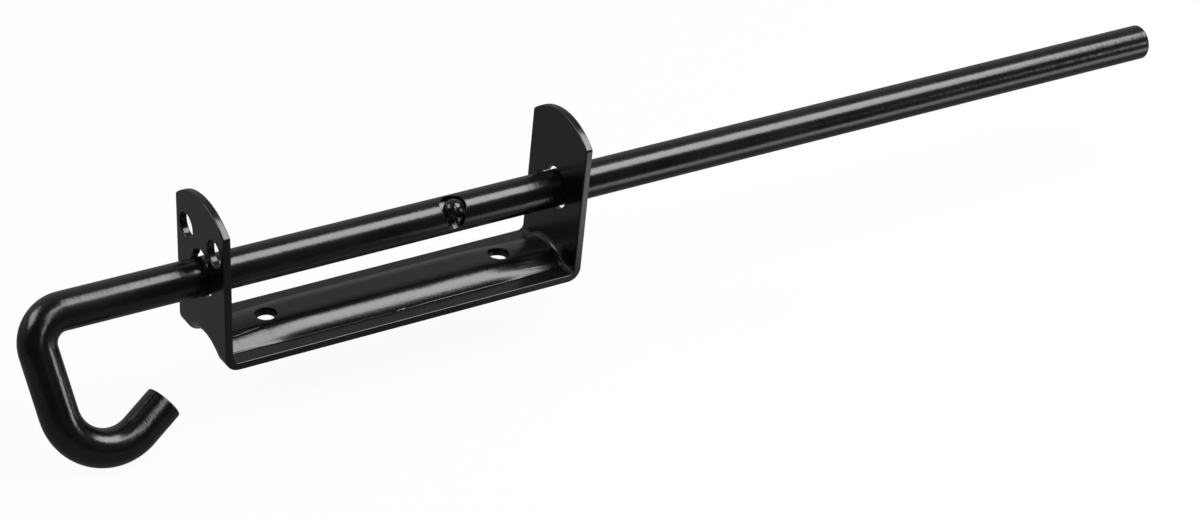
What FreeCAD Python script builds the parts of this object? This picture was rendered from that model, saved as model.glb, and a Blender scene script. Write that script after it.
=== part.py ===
import FreeCAD, Part
import Sketcher
import math
import os
import re

# Drop bolt: a round bar with a bent handle, carried by the two ears of one folded sheet bracket.
# Millimetres. +X runs along the bar towards its free end, -Y is the front, +Z points away from
# the surface that the bracket is screwed to. The origin is midway between the two screw holes,
# on the crest of the rib, where the screw heads bear.

V = FreeCAD.Vector
doc = FreeCAD.newDocument("DropBolt")

# Driving dimensions
sizes = {
    "sheet": 2.5,                  # thickness of the bracket's sheet
    "bracket_length": 125.0,       # over the outer faces of the ears, at their foot
    "bracket_width": 32.0,
    "fold_radius": 2.0,            # inside the fold between base and ear
    "ear_lean_angle": 1.9,         # degrees that each ear leans out from square
    "ear_corner_height": 46.6,     # from the underside of the base to the ear's corners
    "ear_crown": 6.1,              # rise of the arc over the ear's corners
    "bar_hole_height": 25.8,       # from the underside of the base
    "bar_hole_play": 2.0,          # on the diameter, around the bar
    "passing_notch_play": 0.6,     # on the width of the right ear's notch, around the stop
    "passing_notch_end_gap": 1.6,  # beyond the stop's head
    "passing_notch_drop": 1.0,     # the notch lies this much below the centre of the bar hole
    "entry_notch_dia": 10.0,       # round notch over the left ear's bar hole
    "entry_notch_end_gap": 0.4,    # beyond the stop's head
    "lock_hole_dia": 8.4,
    "lock_hole_offset": 9.3,       # either side of the bar
    "lock_hole_rise": 12.7,        # above the bar hole
    "flat_strip": 5.3,             # flat seat left on each side of the rib
    "rib_rise": 3.7,
    "rib_foot_radius": 1.2,
    "screw_hole_dia": 7.0,
    "screw_spacing": 82.5,
    "bar_dia": 12.0,
    "bar_drop": 0.1,               # the bar lies this much below the centre of its holes
    "bar_reach": 240.0,            # free end beyond the right ear
    "bar_end_chamfer": 0.6,
    "handle_start": 46.0,          # from the left ear to the start of the first bend
    "first_bend_inside": 3.2,      # radius on the inside of the bend
    "first_bend_angle": 97.0,      # degrees
    "handle_leg": 19.8,
    "second_bend_inside": 9.2,
    "second_bend_angle": 117.5,    # degrees
    "handle_tail": 11.6,
    "handle_angle": 24.4,          # degrees round from straight down, to the front
    "stop_from_left_ear": 84.15,
    "stop_head_dia": 6.8,
    "stop_height": 2.8,            # how far the head stands out of the bar
    "stop_shank_dia": 5.0,
    "stop_shank_depth": 9.0,       # depth of its hole in the bar
    "stop_angle": 20.2,            # degrees from square to the handle, towards the top
    "stop_seat_dia": 8.8,          # round seat sunk in the bar for the head
    "stop_seat_depth": 4.2,
    "stop_seat_angle": 32.1,       # degrees, as for the stop
    "key_groove_dia": 6.0,         # round groove that runs out of the seat to the front
    "key_groove_rise": 4.6,        # from the bar's axis to the groove's
    "key_groove_start": 1.2,       # how far in front of the bar's axis the groove starts
    "key_groove_angle": 61.4,      # degrees from square to the handle, towards the handle
    "stop_flat": 3.0,              # from the bar's axis to the flat that faces the groove
}
sheet = doc.addObject("Spreadsheet::Sheet", "Sizes")
for row, (alias, value) in enumerate(sizes.items(), start=1):
    sheet.set(f"A{row}", alias)
    sheet.set(f"B{row}", str(value))
    sheet.setAlias(f"B{row}", alias)
doc.recompute()

# Places that follow from the driving dimensions
derived = {
    "half_length": "=bracket_length / 2",
    "half_width": "=bracket_width / 2",
    "left_ear_foot_x": "=0 - half_length",
    "fold_outer_radius": "=fold_radius + sheet",
    "crest_height": "=sheet + rib_rise",
    # The rib is one arc that meets the flat strips through a small foot radius on each side. It is
    # drawn in a plane that leans with the ear, so that raising the fold leaves the ear flat.
    "foot_y": "=half_width - flat_strip",
    "path_rise": "=rib_rise / cos(ear_lean_angle)",
    "foot_to_arc": "=(foot_y * foot_y + path_rise * path_rise) / (2 * path_rise)",
    "rib_radius": "=foot_to_arc - rib_foot_radius",
    "rib_centre_z": "=path_rise - rib_radius",
    "shoulder_y": "=foot_y * rib_radius / foot_to_arc",
    "shoulder_z": "=rib_centre_z + (foot_to_arc - path_rise) * rib_radius / foot_to_arc",
    # the left ear's section: fold centre, then where its arcs meet the ear, then the ear's top
    "fold_x": "=fold_outer_radius / cos(ear_lean_angle) - fold_radius * tan(ear_lean_angle) - half_length",
    "fold_out_x": "=fold_x - fold_outer_radius * cos(ear_lean_angle)",
    "fold_out_z": "=fold_outer_radius - fold_outer_radius * sin(ear_lean_angle)",
    "fold_in_x": "=fold_x - fold_radius * cos(ear_lean_angle)",
    "fold_in_z": "=fold_outer_radius - fold_radius * sin(ear_lean_angle)",
    "join_x": "=fold_x + sheet",
    "sweep_end_x": "=join_x + rib_rise",
    "ear_top_radius": "=(half_width * half_width + ear_crown * ear_crown) / (2 * ear_crown)",
    "ear_top_height": "=ear_corner_height + ear_crown",
    "ear_arc_centre": "=ear_top_height - ear_top_radius",
    "ear_blank_height": "=ear_top_height + sheet",
    "blank_out_x": "=fold_out_x - (ear_blank_height - fold_out_z) * tan(ear_lean_angle)",
    "blank_in_x": "=blank_out_x + sheet * cos(ear_lean_angle)",
    "blank_in_z": "=ear_blank_height + sheet * sin(ear_lean_angle)",
    "trim_height": "=ear_blank_height + crest_height",
    "trim_half_width": "=half_width + sheet",
    "bar_radius": "=bar_dia / 2",
    "bar_hole_dia": "=bar_dia + bar_hole_play",
    "lock_hole_up_ear": "=bar_hole_height + lock_hole_rise - sheet",
    "lock_hole_cut": "=4 * sheet",
    "notch_half_width": "=(stop_head_dia + passing_notch_play) / 2",
    "notch_height": "=bar_hole_height - passing_notch_drop",
    "notch_low": "=notch_height - notch_half_width",
    "notch_high": "=notch_height + notch_half_width",
    "notch_reach": "=bar_radius + stop_height + passing_notch_end_gap",
    "notch_round_y": "=notch_reach - notch_half_width",
    "stop_reach": "=bar_radius + stop_height",
    "entry_notch_top": "=bar_hole_height - bar_drop + stop_reach + entry_notch_end_gap",
    "entry_notch_height": "=entry_notch_top - entry_notch_dia / 2",
    "bar_axis_height": "=bar_hole_height - bar_drop - crest_height",
    "bar_end": "=half_length + bar_reach",
    # the handle's corners, seen square to its plane, x along the bar and z up
    "first_bend_radius": "=first_bend_inside + bar_radius",
    "second_bend_radius": "=second_bend_inside + bar_radius",
    "bend_x": "=0 - half_length - handle_start",
    "leg_x": "=bend_x - first_bend_radius * sin(first_bend_angle)",
    "leg_z": "=first_bend_radius * (cos(first_bend_angle) - 1)",
    "round_x": "=leg_x - handle_leg * cos(first_bend_angle)",
    "round_z": "=leg_z - handle_leg * sin(first_bend_angle)",
    "round_centre_x": "=round_x + second_bend_radius * sin(first_bend_angle)",
    "round_centre_z": "=round_z - second_bend_radius * cos(first_bend_angle)",
    "tail_angle": "=first_bend_angle + second_bend_angle",
    "tail_x": "=round_centre_x - second_bend_radius * sin(tail_angle)",
    "tail_z": "=round_centre_z + second_bend_radius * cos(tail_angle)",
    "tip_x": "=tail_x - handle_tail * cos(tail_angle)",
    "tip_z": "=tail_z - handle_tail * sin(tail_angle)",
    "stop_at": "=stop_from_left_ear - half_length",
    # the stop in its own frame, with its axis on Y and its head towards -Y
    "head_radius": "=stop_head_dia / 2",
    "shank_radius": "=stop_shank_dia / 2",
    "head_y": "=head_radius - stop_reach",
    "head_top_y": "=0 - stop_reach",
    "neck_y": "=head_y + sqrt(head_radius * head_radius - shank_radius * shank_radius)",
    "shank_foot_y": "=stop_shank_depth - bar_radius",
    "shank_floor": "=bar_radius - stop_shank_depth",
    "seat_floor": "=bar_radius - stop_seat_depth",
    "groove_turn": "=0 - key_groove_angle",
    "flat_turn": "=0 - key_groove_angle - stop_angle",
    "stop_hang_angle": "=handle_angle + stop_angle",
    "flat_cutter_dia": "=4 * stop_head_dia",
}
for row, (alias, formula) in enumerate(derived.items(), start=len(sizes) + 1):
    sheet.set(f"A{row}", alias)
    sheet.set(f"B{row}", formula)
    sheet.setAlias(f"B{row}", alias)
doc.recompute()


def new_body(name):
    body = doc.addObject("PartDesign::Body", name)
    body.Label = name
    return body


def new_sketch(body, name, role, along_normal=None):
    """Sketch on one of the body's own origin planes, or shifted along that plane's normal."""
    sketch = body.newObject("Sketcher::SketchObject", name)
    plane = next(f for f in body.Origin.OriginFeatures if f.Role == role)
    sketch.AttachmentSupport = [(plane, "")]
    sketch.MapMode = "FlatFace"
    if along_normal:
        sketch.setExpression(".AttachmentOffset.Base.z", f"Sizes.{along_normal}")
    return sketch


def cell(formula):
    """Names in a formula belong to the sheet, except for the functions of the expression language."""
    words = {alias: f"Sizes.{alias}" for alias in [*sizes, *derived]}
    return re.sub(r"[a-z_]+", lambda word: words.get(word.group(), word.group()), formula)


def dimension(sketch, name, constraint, formula):
    index = sketch.addConstraint(constraint)
    sketch.renameConstraint(index, name)
    sketch.setExpression(f"Constraints.{name}", cell(formula))


def outline(sketch, corners, closed=True):
    """Lines and arcs through pinned corners. A corner is (x, y), or (x, y, centre x, centre y, turn)
    where an arc leaves it for the next corner. All of them are formulas on the sheet."""
    at = [V(*(float(sketch.evalExpression(cell(f))) for f in c[:2])) for c in corners]
    edges = []
    for i in range(len(corners) if closed else len(corners) - 1):
        start, end = at[i], at[(i + 1) % len(at)]
        if len(corners[i]) == 2:
            edges.append((sketch.addGeometry(Part.LineSegment(start, end)), 1, 2))
            continue
        centre = V(*(float(sketch.evalExpression(cell(f))) for f in corners[i][2:4]))
        turn = corners[i][4]
        first, last = (start, end) if turn == "ccw" else (end, start)
        angles = [math.atan2((p - centre).y, (p - centre).x) for p in (first, last)]
        whole = Part.Circle(centre, V(0, 0, 1), (first - centre).Length)
        index = sketch.addGeometry(Part.ArcOfCircle(whole, *angles))
        edges.append((index, 1, 2) if turn == "ccw" else (index, 2, 1))
    for i, (index, first, last) in enumerate(edges):
        x, y = corners[i][:2]
        dimension(sketch, f"x{i}", Sketcher.Constraint("DistanceX", -1, 1, index, first, at[i].x), x)
        dimension(sketch, f"y{i}", Sketcher.Constraint("DistanceY", -1, 1, index, first, at[i].y), y)
        if i + 1 < len(edges) or closed:
            then, then_first, _ = edges[(i + 1) % len(edges)]
            sketch.addConstraint(Sketcher.Constraint("Coincident", index, last, then, then_first))
        if len(corners[i]) > 2:
            cx, cy = corners[i][2:4]
            radius = f"sqrt((({x}) - ({cx}))^2 + (({y}) - ({cy}))^2)"
            drawn = sketch.Geometry[index].Radius
            dimension(sketch, f"radius{i}", Sketcher.Constraint("Radius", index, drawn), radius)
    if not closed:
        index, _, last = edges[-1]
        x, y = corners[-1]
        dimension(sketch, "x_end", Sketcher.Constraint("DistanceX", -1, 1, index, last, at[-1].x), x)
        dimension(sketch, "y_end", Sketcher.Constraint("DistanceY", -1, 1, index, last, at[-1].y), y)


def circle(sketch, name, x, y, diameter):
    centre = V(*(float(sketch.evalExpression(cell(f))) for f in (x, y)))
    drawn = float(sketch.evalExpression(cell(diameter)))
    index = sketch.addGeometry(Part.Circle(centre, V(0, 0, 1), drawn / 2))
    dimension(sketch, f"{name}_x", Sketcher.Constraint("DistanceX", -1, 1, index, 3, centre.x), x)
    dimension(sketch, f"{name}_y", Sketcher.Constraint("DistanceY", -1, 1, index, 3, centre.y), y)
    dimension(sketch, f"{name}_dia", Sketcher.Constraint("Diameter", index, drawn), diameter)


def cut(body, name, sketch, side="Symmetric", reverse=False, depth=None):
    """Pocket through all, or to a depth, checked to take metal away."""
    pocket = body.newObject("PartDesign::Pocket", name)
    pocket.Profile = sketch
    pocket.SideType = side
    pocket.Reversed = reverse
    pocket.Type = "Length" if depth else "ThroughAll"
    if depth:
        pocket.setExpression("Length", f"Sizes.{depth}")
    doc.recompute()
    if pocket.Shape.Volume >= pocket.BaseFeature.Shape.Volume:
        raise RuntimeError(f"{name} cuts nothing")


def sweep(body, name, section, line, mode):
    pipe = body.newObject("PartDesign::AdditivePipe", name)
    pipe.Profile = section
    pipe.Spine = (line, [f"Edge{i + 1}" for i in range(line.GeometryCount)])
    pipe.Mode = mode
    doc.recompute()
    return pipe


def lean_with_ear(sketch):
    sketch.AttachmentOffset = FreeCAD.Placement(V(), FreeCAD.Rotation(V(-1, 0, 0), 1))
    sketch.setExpression(".AttachmentOffset.Rotation.Angle", "Sizes.ear_lean_angle")


def folded_bracket():
    """One sheet folded into two ears, with a rib stamped along the base and through both folds.
    The left half is made first: fold and ear are swept across the sheet along the rib's line, and
    the cut end of that sweep is drawn out to the middle of the base."""
    body = new_body("bracket")
    section = new_sketch(body, "ear_section", "XZ_Plane", "half_width")
    outline(section, [
        ("sweep_end_x", "0"),
        ("fold_x", "0", "fold_x", "fold_outer_radius", "cw"),
        ("fold_out_x", "fold_out_z"),
        ("blank_out_x", "ear_blank_height"),
        ("blank_in_x", "blank_in_z"),
        ("fold_in_x", "fold_in_z", "fold_x", "fold_outer_radius", "ccw"),
        ("fold_x", "sheet"),
        ("sweep_end_x", "sheet"),
    ])
    rib = new_sketch(body, "rib_line", "YZ_Plane")
    lean_with_ear(rib)
    outline(rib, [
        ("-half_width", "0"),
        ("-foot_y", "0", "-foot_y", "rib_foot_radius", "ccw"),
        ("-shoulder_y", "shoulder_z", "0", "rib_centre_z", "cw"),
        ("shoulder_y", "shoulder_z", "foot_y", "rib_foot_radius", "ccw"),
        ("foot_y", "0"),
        ("half_width", "0"),
    ], closed=False)
    sweep(body, "fold_and_ear", section, rib, "Fixed")

    square_end = new_sketch(body, "square_end_outline", "XZ_Plane")
    outline(square_end, [
        ("join_x", "-sheet"),
        ("half_length", "-sheet"),
        ("half_length", "trim_height"),
        ("join_x", "trim_height"),
    ])
    cut(body, "square_end", square_end)
    faces = body.Tip.Shape.Faces
    end = max(range(len(faces)), key=lambda i: faces[i].CenterOfMass.x)
    base = body.newObject("PartDesign::Pad", "ribbed_base")
    base.Profile = (base.BaseFeature, [f"Face{end + 1}"])
    base.setExpression("Length", "-Sizes.join_x")
    other_half = body.newObject("PartDesign::Mirrored", "other_half")
    middle = next(f for f in body.Origin.OriginFeatures if f.Role == "YZ_Plane")
    other_half.MirrorPlane = (middle, [""])
    other_half.TransformMode = "Whole shape"
    body.Tip = other_half
    doc.recompute()

    top = new_sketch(body, "ear_top_line", "YZ_Plane")
    outline(top, [
        ("-trim_half_width", "ear_corner_height"),
        ("-half_width", "ear_corner_height", "0", "ear_arc_centre", "cw"),
        ("half_width", "ear_corner_height"),
        ("trim_half_width", "ear_corner_height"),
        ("trim_half_width", "trim_height"),
        ("-trim_half_width", "trim_height"),
    ])
    cut(body, "ear_tops", top)

    bar_hole = new_sketch(body, "bar_hole_circle", "YZ_Plane")
    circle(bar_hole, "bar_hole", "0", "bar_hole_height", "bar_hole_dia")
    cut(body, "bar_holes", bar_hole)

    notch = new_sketch(body, "passing_notch_outline", "YZ_Plane")
    outline(notch, [
        ("0", "notch_low"),
        ("notch_round_y", "notch_low", "notch_round_y", "notch_height", "ccw"),
        ("notch_reach", "notch_height", "notch_round_y", "notch_height", "ccw"),
        ("notch_round_y", "notch_high"),
        ("0", "notch_high"),
    ])
    cut(body, "passing_notch", notch, side="One side", reverse=True)
    entry = new_sketch(body, "entry_notch_circle", "YZ_Plane")
    circle(entry, "entry", "0", "entry_notch_height", "entry_notch_dia")
    cut(body, "entry_notch", entry, side="One side")

    locks = new_sketch(body, "lock_hole_circles", "YZ_Plane", "left_ear_foot_x")
    lean_with_ear(locks)
    locks.setExpression(".AttachmentOffset.Base.y", "Sizes.sheet")
    circle(locks, "front", "-lock_hole_offset", "lock_hole_up_ear", "lock_hole_dia")
    circle(locks, "back", "lock_hole_offset", "lock_hole_up_ear", "lock_hole_dia")
    cut(body, "lock_holes", locks, depth="lock_hole_cut")

    screws = new_sketch(body, "screw_hole_circles", "XY_Plane")
    circle(screws, "left", "-screw_spacing / 2", "0", "screw_hole_dia")
    circle(screws, "right", "screw_spacing / 2", "0", "screw_hole_dia")
    cut(body, "screw_holes", screws)
    body.setExpression(".Placement.Base.z", "-Sizes.crest_height")
    return body


def hang(body, angle):
    """The bar's own frame has its axis on X and the handle straight down. The photograph's bar is
    turned so that the handle hangs to the front."""
    body.Placement = FreeCAD.Placement(V(), FreeCAD.Rotation(V(-1, 0, 0), 1))
    body.setExpression(".Placement.Rotation.Angle", f"Sizes.{angle}")
    body.setExpression(".Placement.Base.z", "Sizes.bar_axis_height")


def round_cut_out(body, name, turn, start, rise, diameter):
    """Round cut towards the outside of the bar. Its sketch is turned about the bar's axis from the
    front towards the top, and starts this far out from the axis."""
    sketch = new_sketch(body, f"{name}_circle", "XZ_Plane")
    sketch.AttachmentOffset = FreeCAD.Placement(V(), FreeCAD.Rotation(V(-1, 0, 0), 1))
    sketch.setExpression(".AttachmentOffset.Rotation.Angle", f"Sizes.{turn}")
    sketch.setExpression(".AttachmentOffset.Base.y", cell(f"{start} * sin({turn})"))
    sketch.setExpression(".AttachmentOffset.Base.z", cell(f"{start} * cos({turn})"))
    circle(sketch, "edge", "stop_at", rise, diameter)
    cut(body, name, sketch, side="One side", reverse=True)


def flat_end_edges(shape):
    ends = [e for f in shape.Faces if f.Surface.TypeId == "Part::GeomPlane" for e in f.Edges]
    return [f"Edge{i}" for i, e in enumerate(shape.Edges, start=1) if any(e.isSame(o) for o in ends)]


def bent_bar():
    """The bolt: one round bar, straight to its free end, with a hooked handle bent at the other."""
    body = new_body("bolt_bar")
    section = new_sketch(body, "bar_section", "YZ_Plane", "bar_end")
    circle(section, "bar", "0", "0", "bar_dia")
    line = new_sketch(body, "bar_line", "XZ_Plane")
    outline(line, [
        ("bar_end", "0"),
        ("bend_x", "0", "bend_x", "-first_bend_radius", "ccw"),
        ("leg_x", "leg_z"),
        ("round_x", "round_z", "round_centre_x", "round_centre_z", "ccw"),
        ("tail_x", "tail_z"),
        ("tip_x", "tip_z"),
    ], closed=False)
    bar = sweep(body, "bent_bar", section, line, "Standard")
    chamfer = body.newObject("PartDesign::Chamfer", "cut_ends")
    chamfer.Base = (bar, flat_end_edges(bar.Shape))
    chamfer.setExpression("Size", "Sizes.bar_end_chamfer")
    doc.recompute()
    round_cut_out(body, "shank_hole", "stop_angle", "shank_floor", "0", "stop_shank_dia")
    round_cut_out(body, "stop_seat", "stop_seat_angle", "seat_floor", "0", "stop_seat_dia")
    round_cut_out(body, "key_groove", "groove_turn", "key_groove_start", "key_groove_rise", "key_groove_dia")
    hang(body, "handle_angle")
    return body


def ball_headed_stop():
    """Stop that meets the ears: a ball head on a shank pressed into the bar. The head sits in its
    seat, and has one flat that faces the groove."""
    body = new_body("stop_pin")
    half = new_sketch(body, "stop_half_section", "XY_Plane")
    half.setExpression(".AttachmentOffset.Base.x", "Sizes.stop_at")
    outline(half, [
        ("0", "head_top_y"),
        ("0", "shank_foot_y"),
        ("shank_radius", "shank_foot_y"),
        ("shank_radius", "neck_y", "0", "head_y", "cw"),
    ])
    turned = body.newObject("PartDesign::Revolution", "turned_stop")
    turned.Profile = half
    turned.ReferenceAxis = (half, ["V_Axis"])
    turned.Angle = 360
    doc.recompute()
    round_cut_out(body, "head_flat", "flat_turn", "stop_flat", "0", "flat_cutter_dia")
    hang(body, "stop_hang_angle")
    return body


parts = [folded_bracket(), bent_bar(), ball_headed_stop()]
doc.recompute()
for thing in doc.Objects:
    if {"Invalid", "Error"} & set(thing.State):
        raise RuntimeError(f"{thing.Label} failed: {thing.State}")
os.makedirs("parts", exist_ok=True)
for part in parts:
    if part.Shape.isNull() or not part.Shape.isValid() or len(part.Shape.Solids) != 1:
        raise RuntimeError(f"{part.Label} has no valid solid")
    part.Shape.exportStep(f"parts/{part.Label}.step")
    print(part.Label, round(part.Shape.Volume), part.Shape.BoundBox)
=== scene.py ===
"""Looks of the drop bolt: black semi-gloss coat on a round bar, its stop and a folded sheet bracket.

Lengths are in metres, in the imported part's own frame: +X along the bar towards its free end, -Y to
the front, +Z away from the surface that the bracket is screwed to.
"""

from math import copysign, cos, hypot, pi, radians, sin, sqrt

import bmesh
import bpy
from mathutils import Euler, Matrix, Vector


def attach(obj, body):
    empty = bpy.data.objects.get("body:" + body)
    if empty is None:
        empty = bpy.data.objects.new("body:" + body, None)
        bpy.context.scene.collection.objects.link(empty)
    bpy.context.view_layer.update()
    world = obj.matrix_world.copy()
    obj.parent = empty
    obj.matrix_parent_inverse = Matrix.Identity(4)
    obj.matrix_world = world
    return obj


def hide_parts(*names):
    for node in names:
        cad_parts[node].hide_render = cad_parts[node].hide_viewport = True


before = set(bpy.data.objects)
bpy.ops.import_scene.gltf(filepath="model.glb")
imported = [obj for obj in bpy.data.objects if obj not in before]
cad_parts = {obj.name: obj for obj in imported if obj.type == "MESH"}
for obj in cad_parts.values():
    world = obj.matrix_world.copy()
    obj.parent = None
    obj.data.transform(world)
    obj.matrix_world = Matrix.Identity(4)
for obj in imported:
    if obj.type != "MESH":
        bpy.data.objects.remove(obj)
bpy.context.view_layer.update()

MM = 0.001


# Pieces


def link_mesh(name, bm):
    mesh = bpy.data.meshes.new(name)
    bm.normal_update()
    bm.to_mesh(mesh)
    bm.free()
    made = bpy.data.objects.new(name, mesh)
    bpy.context.scene.collection.objects.link(made)
    return made


def finished(piece, body, node):
    """Puts a piece on its body in a node's place. Broken edges shade round, and wide faces stay even."""
    piece.data.shade_smooth()
    piece.data.set_sharp_from_angle(angle=radians(40))
    even = piece.modifiers.new("even_faces", "WEIGHTED_NORMAL")
    even.mode = "FACE_AREA"
    even.weight = 50
    even.keep_sharp = True
    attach(piece, body)
    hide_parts(node)
    return piece


def merged_copy(node):
    """A node's mesh as closed faces: its corners joined, and its flat triangles made one face again."""
    bm = bmesh.new()
    bm.from_mesh(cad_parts[node].data)
    bmesh.ops.remove_doubles(bm, verts=bm.verts, dist=2e-6)
    bmesh.ops.recalc_face_normals(bm, faces=bm.faces)
    bmesh.ops.dissolve_limit(
        bm, angle_limit=radians(0.2), use_dissolve_boundaries=False,
        verts=bm.verts, edges=bm.edges, delimit=set(),
    )
    return bm


def break_edges(bm, angle, width, segments, zone=lambda edge: True, clamp=True):
    """Rounds off every edge in a zone that is sharper than an angle."""
    sharp = [e for e in bm.edges if len(e.link_faces) == 2 and e.calc_face_angle(0) > angle and zone(e)]
    bmesh.ops.bevel(
        bm, geom=sharp, offset=width, offset_type="OFFSET", affect="EDGES",
        segments=segments, profile=0.5, material=-1, clamp_overlap=clamp,
    )


SHEET = 2.5 * MM
BASE_TOP = 1.5 * MM  # all of the base lies below this, and the ears rise past it
STRIP_Z = -3.7 * MM  # top of the flat strips beside the rib
RIB_HALF = 10.7 * MM
RIB_FOOT = 1.2 * MM
CREST_Z = 0.7 * MM  # the rib's crest as it is drawn, above the solid's at zero
FLANK_ANGLE = radians(56)
RIB_FADE = (30 * MM, 58 * MM)  # the pressed rib is whole up to the first and gone at the second
CUT_WIDTH = 0.4 * MM
CUT_LENGTH = 2 * MM
SCREW_X = 41.25 * MM
SCREW_ZONE = 3.6 * MM  # just past the 3.5 mm radius of a screw hole
PIERCED = 0.88  # lower over upper radius of a screw hole


def plain_rib(y):
    """Height of the solid's rib: one arc with a small foot radius."""
    reach = (RIB_HALF**2 + STRIP_Z**2) / (-2 * STRIP_Z)
    radius = reach - RIB_FOOT
    if abs(y) < RIB_HALF * radius / reach:
        return sqrt(radius**2 - y**2) - radius
    return STRIP_Z + RIB_FOOT - sqrt(RIB_FOOT**2 - (RIB_HALF - abs(y)) ** 2)


def pressed_rib(y):
    """Height of the rib as it is drawn: steeper flanks and a tighter foot, as its highlight shows them."""
    radius = (CREST_Z - STRIP_Z) / (1 - cos(FLANK_ANGLE))
    out = max(abs(y) - RIB_HALF + radius * sin(FLANK_ANGLE), 0)
    return CREST_Z - radius + sqrt(radius**2 - out**2)


def on_base(vert):
    return abs(vert.co.x) < RIB_FADE[1] and vert.co.z < BASE_TOP


def in_screw_hole(vert):
    return on_base(vert) and hypot(abs(vert.co.x) - SCREW_X, vert.co.y) < SCREW_ZONE


def base_cuts():
    """Planes, each a point and a direction, that cut the base into narrow strips along the rib."""
    strips = int(RIB_HALF / CUT_WIDTH)
    lengths = round(RIB_FADE[1] / CUT_LENGTH)
    beside = [((0, step * CUT_WIDTH, 0), (0, 1, 0)) for step in range(-strips, strips + 1)]
    feet = [((0, side * RIB_HALF, 0), (0, 1, 0)) for side in (-1, 1)]
    across = [((step * CUT_LENGTH, 0, 0), (1, 0, 0)) for step in range(-lengths, lengths + 1)]
    return beside + feet + across


def press_rib(bm):
    """Cuts the base into strips and moves them to the pressed rib, which fades towards the folds.

    The screw holes are pierced from above, so they narrow a little towards the back.
    """
    for spot, way in base_cuts():
        faces = [f for f in bm.faces if all(on_base(v) for v in f.verts)]
        edges = dict.fromkeys(e for f in faces for e in f.edges)
        verts = dict.fromkeys(v for f in faces for v in f.verts)
        bmesh.ops.bisect_plane(
            bm, geom=[*verts, *edges, *faces], dist=1e-7, plane_co=spot, plane_no=way
        )
    for vert in bm.verts:
        if on_base(vert) and abs(vert.co.y) < RIB_HALF:
            part = min(max((RIB_FADE[1] - abs(vert.co.x)) / (RIB_FADE[1] - RIB_FADE[0]), 0), 1)
            plain = plain_rib(vert.co.y)
            depth = 0 if plain - vert.co.z < SHEET / 2 else SHEET
            if depth and in_screw_hole(vert):
                middle = copysign(SCREW_X, vert.co.x)
                vert.co.x = middle + (vert.co.x - middle) * PIERCED
                vert.co.y *= PIERCED
            rise = (pressed_rib(vert.co.y) - plain) * part * part * (3 - 2 * part)
            vert.co.z = plain - depth + rise


def folded_bracket():
    """The sheet's cut edges are broken by a fine round, which the coat follows."""
    bm = merged_copy("bracket")
    holes = [e for e in bm.edges if all(in_screw_hole(v) for v in e.verts)]
    break_edges(
        bm, angle=radians(35), width=0.45 * MM, segments=4, zone=lambda e: e not in holes, clamp=False
    )
    press_rib(bm)
    return finished(link_mesh("bracket_sheet", bm), "bracket", "bracket")


BAR_RADIUS = 5.98 * MM
BAR_AXIS_Z = 19.5 * MM
BAR_END_X = 302.5 * MM
BEND_X = -108.5 * MM
HANDLE_TURN = radians(24.4)
FIRST_BEND = (9.2 * MM, radians(97))
SECOND_BEND = (15.2 * MM, radians(117.5))
LEG = 19.8 * MM
TAIL = 11.6 * MM
STOP_X = 21.65 * MM
SEAT_ZONE = 9.6 * MM  # half the short stretch of bar that the stop is let into
SEAT_REACH = 9 * MM  # edges this near the stop are broken
SURFACE_SLACK = 0.02 * MM
CUT_DEPTH = 20 * MM


def faces_in(geometry):
    return [f for f in geometry if isinstance(f, bmesh.types.BMFace)]


def draw_out(bm, faces, step):
    """Lengthens the bar straight on from its end face, which stays behind inside it as a disc."""
    made = bmesh.ops.extrude_face_region(bm, geom=faces)["geom"]
    bmesh.ops.translate(bm, vec=step, verts=[v for v in made if isinstance(v, bmesh.types.BMVert)])
    return faces_in(made)


def bend(bm, faces, centre, angle, steps):
    """Lengthens the bar round a centre in the handle's plane. A disc stays behind here too."""
    made = bmesh.ops.spin(
        bm, geom=faces, cent=centre, axis=(0, 1, 0), angle=angle, steps=steps,
        use_merge=False, use_duplicate=False,
    )
    return faces_in(made["geom_last"])


def drawn_bar():
    """One round face, drawn out along the bar and spun round the handle's two bends."""
    bm = bmesh.new()
    start = Matrix.Translation((BAR_END_X, 0, 0)) @ Matrix.Rotation(pi / 2, 4, "Y")
    bmesh.ops.create_circle(bm, cap_ends=True, radius=BAR_RADIUS, segments=96, matrix=start)
    bmesh.ops.recalc_face_normals(bm, faces=bm.faces)
    faces = list(bm.faces)
    x = BAR_END_X
    for stage in (STOP_X + SEAT_ZONE, STOP_X - SEAT_ZONE, BEND_X):
        faces = draw_out(bm, faces, (stage - x, 0, 0))
        x = stage
    radius, angle = FIRST_BEND
    faces = bend(bm, faces, (BEND_X, 0, -radius), -angle, steps=32)
    heading = Vector((-cos(angle), 0, -sin(angle)))
    faces = draw_out(bm, faces, heading * LEG)
    centre = faces[0].calc_center_median()
    inward = Vector((sin(angle), 0, -cos(angle)))
    radius, further = SECOND_BEND
    faces = bend(bm, faces, centre + inward * radius, -further, steps=40)
    total = angle + further
    draw_out(bm, faces, Vector((-cos(total), 0, -sin(total))) * TAIL)
    bmesh.ops.remove_doubles(bm, verts=bm.verts, dist=1e-7)
    bmesh.ops.recalc_face_normals(bm, faces=bm.faces)
    break_edges(bm, angle=radians(60), width=0.6 * MM, segments=4)
    hang = Matrix.Translation((0, 0, BAR_AXIS_Z)) @ Matrix.Rotation(-HANDLE_TURN, 4, "X")
    bmesh.ops.transform(bm, matrix=hang, verts=bm.verts)
    return link_mesh("bent_bar", bm)


def across_bar(angle):
    """Unit vector square to the bar, at an angle in degrees from the back (+Y) over the top."""
    return Vector((0, cos(radians(angle)), sin(radians(angle))))


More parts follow.
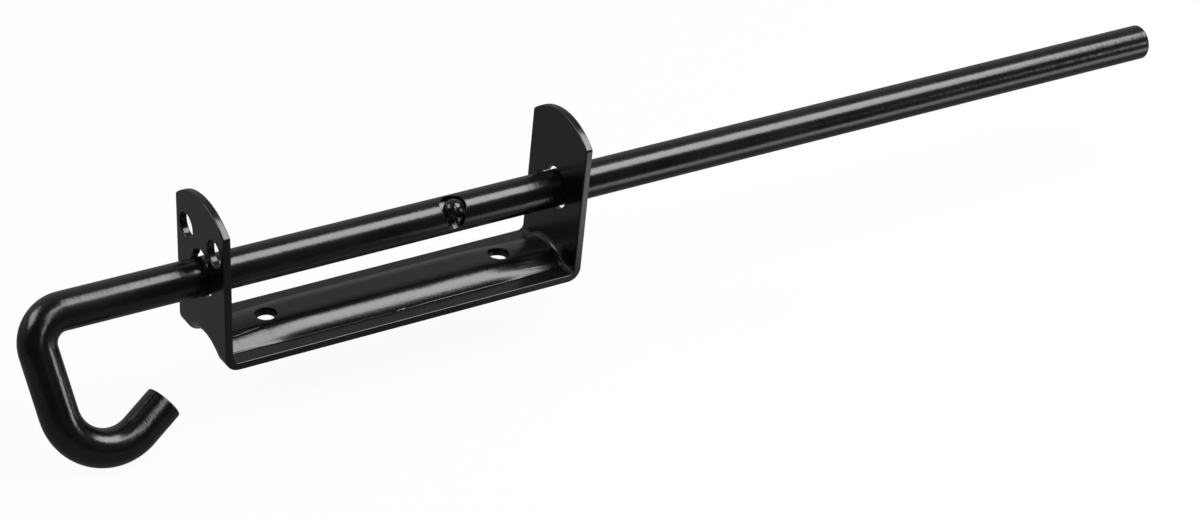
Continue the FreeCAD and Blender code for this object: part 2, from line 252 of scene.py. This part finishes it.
def cut_round(bar, name, direction, start, rise, radius):
    """Cuts a round hole outwards at the stop, from a start along its direction and a rise across it."""
    way = across_bar(direction)
    foot = Vector((STOP_X, 0, BAR_AXIS_Z)) + way * start + across_bar(direction - 90) * rise
    turn = way.to_track_quat("Z", "X").to_matrix().to_4x4()
    bm = bmesh.new()
    bmesh.ops.create_cone(
        bm, cap_ends=True, segments=72, radius1=radius, radius2=radius, depth=CUT_DEPTH,
        matrix=Matrix.Translation(foot + way * CUT_DEPTH / 2) @ turn,
    )
    cutter = link_mesh(name, bm)
    cut = bar.modifiers.new(name, "BOOLEAN")
    cut.operation = "DIFFERENCE"
    cut.solver = "EXACT"
    cut.object = cutter
    made = bpy.data.meshes.new_from_object(bar.evaluated_get(bpy.context.evaluated_depsgraph_get()))
    bar.modifiers.remove(cut)
    bar.data = made
    bpy.data.objects.remove(cutter)


def on_seat_rim(edge):
    """Whether an edge lies on the bar's round outside, near the stop."""
    return all(
        abs(v.co.x - STOP_X) < SEAT_REACH
        and hypot(v.co.y, v.co.z - BAR_AXIS_Z) > BAR_RADIUS - SURFACE_SLACK
        for v in edge.verts
    )


def bent_bar():
    """The bar with a blind hole for the stop's shank, a round seat for its head and a groove in front."""
    bar = drawn_bar()
    cut_round(bar, "shank_cutter", direction=135.4, start=-3 * MM, rise=0, radius=2.5 * MM)
    cut_round(bar, "seat_cutter", direction=123.5, start=1.8 * MM, rise=0, radius=4.4 * MM)
    cut_round(bar, "groove_cutter", direction=217, start=1.2 * MM, rise=4.6 * MM, radius=3 * MM)
    bm = bmesh.new()
    bm.from_mesh(bar.data)
    break_edges(bm, angle=radians(40), width=0.2 * MM, segments=3, zone=on_seat_rim, clamp=False)
    bm.to_mesh(bar.data)
    bm.free()
    return finished(bar, "bolt", "bolt_bar")


def ball_headed_stop():
    bm = merged_copy("stop_pin")
    break_edges(bm, angle=radians(35), width=0.15 * MM, segments=2)
    return finished(link_mesh("domed_stop", bm), "bolt", "stop_pin")


# Finish


class Socket:
    """A shader value that takes part in Python expressions."""

    def __init__(self, shader, output):
        self.shader = shader
        self.output = output

    def maths(self, operation, *values):
        return self.shader.node("ShaderNodeMath", {"operation": operation}, dict(enumerate(values)))

    def __add__(self, other):
        return self.maths("ADD", self, other)

    __radd__ = __add__

    def __mul__(self, other):
        return self.maths("MULTIPLY", self, other)

    __rmul__ = __mul__

    def __sub__(self, other):
        return self.maths("SUBTRACT", self, other)

    def __rsub__(self, other):
        return self.maths("SUBTRACT", other, self)


class Shader:
    """Node tree of a material or the world, built one node a call."""

    def __init__(self, owner):
        self.owner = owner
        owner.use_nodes = True
        self.tree = owner.node_tree
        self.tree.nodes.clear()

    def node(self, kind, settings=None, sockets=None, output=0):
        """Node with its settings made first, then its sockets set or linked."""
        made = self.tree.nodes.new(kind)
        for name, value in (settings or {}).items():
            if name == "stops":
                for stop, (place, colour) in zip(made.color_ramp.elements, value):
                    stop.position = place
                    stop.color = (*colour, 1)
            else:
                setattr(made, name, value)
        for name, value in (sockets or {}).items():
            if isinstance(value, Socket):
                self.tree.links.new(value.output, made.inputs[name])
            else:
                made.inputs[name].default_value = value
        return Socket(self, made.outputs[output])

    def finish(self, kind, surface):
        output = self.tree.nodes.new(kind)
        self.tree.links.new(surface.output, output.inputs["Surface"])
        return self.owner


def black_coat(name, grain, ripple):
    """Black stoving enamel: nearly black, semi-gloss, with the slight orange peel of a dipped coat."""
    shader = Shader(bpy.data.materials.new(name))
    place = shader.node("ShaderNodeTexCoord", output="Object")
    stretched = shader.node("ShaderNodeMapping", sockets={"Vector": place, "Scale": grain})
    peel = shader.node(
        "ShaderNodeTexNoise", sockets={"Vector": stretched, "Scale": 420.0, "Detail": 3.0, "Roughness": 0.55}
    )
    sag = shader.node("ShaderNodeTexNoise", sockets={"Vector": stretched, "Scale": 90.0, "Detail": 2.0})
    bump = shader.node(
        "ShaderNodeBump", sockets={"Height": peel * 0.35 + sag * 0.65, "Strength": ripple, "Distance": 0.0004}
    )
    wear = shader.node("ShaderNodeTexNoise", sockets={"Vector": place, "Scale": 55.0, "Detail": 4.0})
    black = shader.node(
        "ShaderNodeValToRGB",
        {"stops": [(0.35, (0.0012, 0.0012, 0.0013)), (0.7, (0.003, 0.003, 0.0032))]},
        {"Fac": wear},
    )
    surface = shader.node(
        "ShaderNodeBsdfPrincipled",
        sockets={"Base Color": black, "Roughness": 0.17 + 0.1 * wear, "Normal": bump},
    )
    return shader.finish("ShaderNodeOutputMaterial", surface)


def shown(shader, straight, mirrored):
    """What a ray sees of the white background: one share straight on, another in the object's gloss."""
    seen = shader.node("ShaderNodeLightPath", output="Is Camera Ray")
    shiny = shader.node("ShaderNodeLightPath", output="Is Glossy Ray")
    through = shader.node("ShaderNodeLightPath", output="Is Transmission Ray")
    return seen * straight + (shiny + through) * mirrored


def ramp(shader, value, start, end, low=0.0, high=1.0):
    """Goes from low to high as a value goes from start to end, and stays there past either."""
    return shader.node(
        "ShaderNodeMapRange",
        sockets={"Value": value, "From Min": start, "From Max": end, "To Min": low, "To Max": high},
    )


def floor_finish():
    """Pale studio floor, which the camera sees almost white, with the object's shadow on it.

    In the object's gloss it is dim, darkest far in front, with a painted pool of light at the front right
    that shows as a painted reflection in the coat. The pool stops short of the object, which leaves painted
    shade under it in the gloss.
    """
    shader = Shader(bpy.data.materials.new("studio_floor"))
    place = shader.node("ShaderNodeTexCoord", output="Object")
    x = shader.node("ShaderNodeSeparateXYZ", sockets={"Vector": place}, output="X")
    y = shader.node("ShaderNodeSeparateXYZ", sockets={"Vector": place}, output="Y")
    right = ramp(shader, x, 0.04, 0.13)
    in_front = ramp(shader, y, -0.04, -0.07)
    close = ramp(shader, y, -0.15, -0.1)
    # painted light: a glowing patch that only the gloss sees stands in for a lit pool of floor at the front
    # right, and it fades out short of the object as painted shade under it
    mirrored = 0.03 + 0.13 * close + 2.6 * right * in_front * close
    pale = shader.node("ShaderNodeBsdfDiffuse", sockets={"Color": (0.6, 0.6, 0.6, 1)})
    white = shader.node(
        "ShaderNodeEmission", sockets={"Color": (1, 1, 1, 1), "Strength": shown(shader, 1.0, mirrored)}
    )
    mixed = shader.node("ShaderNodeMixShader", sockets={"Fac": shown(shader, 0.95, 0.95), 1: pale, 2: white})
    return shader.finish("ShaderNodeOutputMaterial", mixed)


# Studio

FLOOR_Z = -26.2 * MM  # just under the lowest point of the handle
HANDLE = (-0.11, -0.015, 0.01)  # a spot on the handle that lamps point at


def studio_world():
    """A room that is dark in front of the object and paler behind it."""
    world = bpy.data.worlds.new("studio")
    bpy.context.scene.world = world
    shader = Shader(world)
    way = shader.node("ShaderNodeTexCoord", output="Generated")
    back = shader.node("ShaderNodeSeparateXYZ", sockets={"Vector": way}, output="Y")
    room = ramp(shader, back, -0.1, 0.7, low=0.015, high=0.34)
    background = shown(shader, 1.0, 0.04)
    bright = background + room * (1 - background)
    surface = shader.node("ShaderNodeBackground", sockets={"Color": (1, 1, 1, 1), "Strength": bright})
    shader.finish("ShaderNodeOutputWorld", surface)


def softbox(name, place, towards, along, size, radiance):
    """Flat lamp with its first side along a given line, as bright as a white of this radiance."""
    data = bpy.data.lights.new(name, "AREA")
    data.shape = "RECTANGLE"
    data.size, data.size_y = size
    data.energy = radiance * pi * size[0] * size[1]
    back = (Vector(place) - Vector(towards)).normalized()
    side = (Vector(along) - Vector(along).dot(back) * back).normalized()
    turn = Matrix((side, back.cross(side), back)).transposed().to_4x4()
    lamp = bpy.data.objects.new(name, data)
    lamp.matrix_world = Matrix.Translation(place) @ turn
    bpy.context.scene.collection.objects.link(lamp)


def studio_floor():
    bm = bmesh.new()
    bmesh.ops.create_grid(bm, x_segments=1, y_segments=1, size=4.0)
    bmesh.ops.translate(bm, vec=(0, 0, FLOOR_Z), verts=bm.verts)
    floor = link_mesh("floor", bm)
    floor.data.materials.append(floor_finish())


def camera():
    """Camera at the photograph's viewing angle, fitted to the edges of bar, bracket and handle."""
    data = bpy.data.cameras.new("camera")
    data.sensor_width = 36
    data.sensor_fit = "HORIZONTAL"
    data.lens = 99.571
    data.clip_start = 0.01
    eye = bpy.data.objects.new("camera", data)
    eye.location = (-0.442395, -0.766558, 0.538426)
    eye.rotation_euler = Euler((radians(59.2347), radians(-3.7605), radians(-32.0622)), "XYZ")
    bpy.context.scene.collection.objects.link(eye)
    bpy.context.scene.camera = eye


def coat(piece, finish):
    piece.data.materials.clear()
    piece.data.materials.append(finish)


coat(folded_bracket(), black_coat("bracket_enamel", grain=(1.8, 0.8, 0.8), ripple=0.28))
coat(bent_bar(), black_coat("bar_enamel", grain=(2, 0.7, 0.7), ripple=0.42))
coat(ball_headed_stop(), black_coat("stop_enamel", grain=(1, 1, 1), ripple=0.06))

camera()
studio_world()
studio_floor()

# Each lamp: name, place, the spot it points at, the line of its first side, both sides, radiance
softbox("overhead_softbox", (0.59, -0.27, 0.84), (0.59, -0.27, 0), (1, -0.12, 0), (0.88, 0.6), 9.3)
softbox("left_back_softbox", (-0.65, 0.3, 0.62), HANDLE, (1, 1.6, 0), (0.6, 0.35), 6)
softbox("front_strip", (-0.07, -0.81, 0.61), HANDLE, (1, 0, 0), (0.12, 0.5), 7)
softbox("tail_softbox", (-0.04, -0.52, 0.84), HANDLE, (1, 0, 0), (0.34, 0.26), 6)
softbox("low_right_softbox", (2.5, -1.85, 0.47), HANDLE, (1, 1.35, 0), (0.78, 0.5), 10)

bpy.context.scene.view_settings.view_transform = "Standard"
